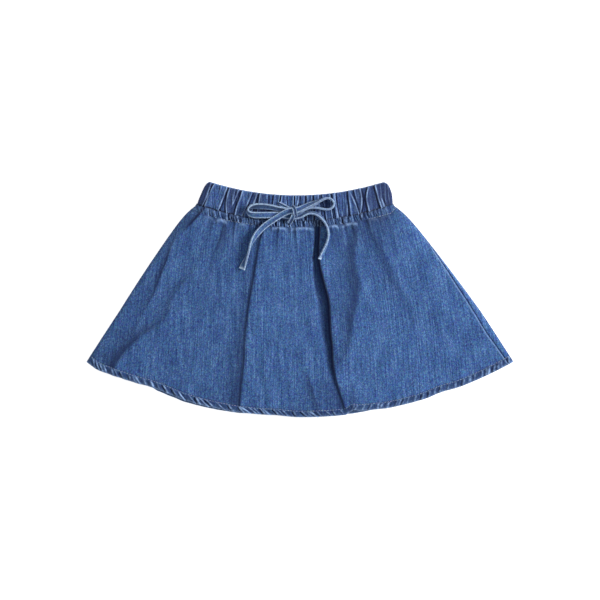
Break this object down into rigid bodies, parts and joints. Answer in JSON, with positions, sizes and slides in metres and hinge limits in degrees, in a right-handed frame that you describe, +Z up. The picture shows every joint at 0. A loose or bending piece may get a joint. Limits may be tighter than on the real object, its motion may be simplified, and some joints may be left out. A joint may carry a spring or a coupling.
{
  "type": "skort",
  "caption": "Toddler's pull-on denim skort laid flat: flared skirt gathered into an elastic waistband with a tied drawstring, over plain inner shorts.",
  "frame": {"origin": "on the surface it lies on, at the middle of its width and length without the drawstring", "axes": "+X to the right of the front view (the wearer's left), +Y towards the waist, +Z up from the surface, out of the front"},
  "size_m": [0.4688, 0.2579, 0.0155],
  "materials": {
    "denim": "washed mid-blue cotton denim, warp-faced twill with fine slubs along its length",
    "band_denim": "the same denim gathered over elastic, darker in the valleys and worn pale on the ridges",
    "tape_denim": "the same denim folded into a narrow tape, worn pale along its edges",
    "jersey": "plain matt navy cotton jersey"
  },
  "bodies": {
    "root": {"skirt_front": "denim", "skirt_back": "denim", "waistband": "band_denim", "shorts_front": "jersey", "shorts_back": "jersey", "drawstring_knot": "tape_denim", "drawstring_loop_left": "tape_denim", "drawstring_loop_right": "tape_denim", "drawstring_end_left": "tape_denim", "drawstring_end_right": "tape_denim", "drawstring_exit_left": "tape_denim", "drawstring_exit_right": "tape_denim"}
  },
  "joints": []
}
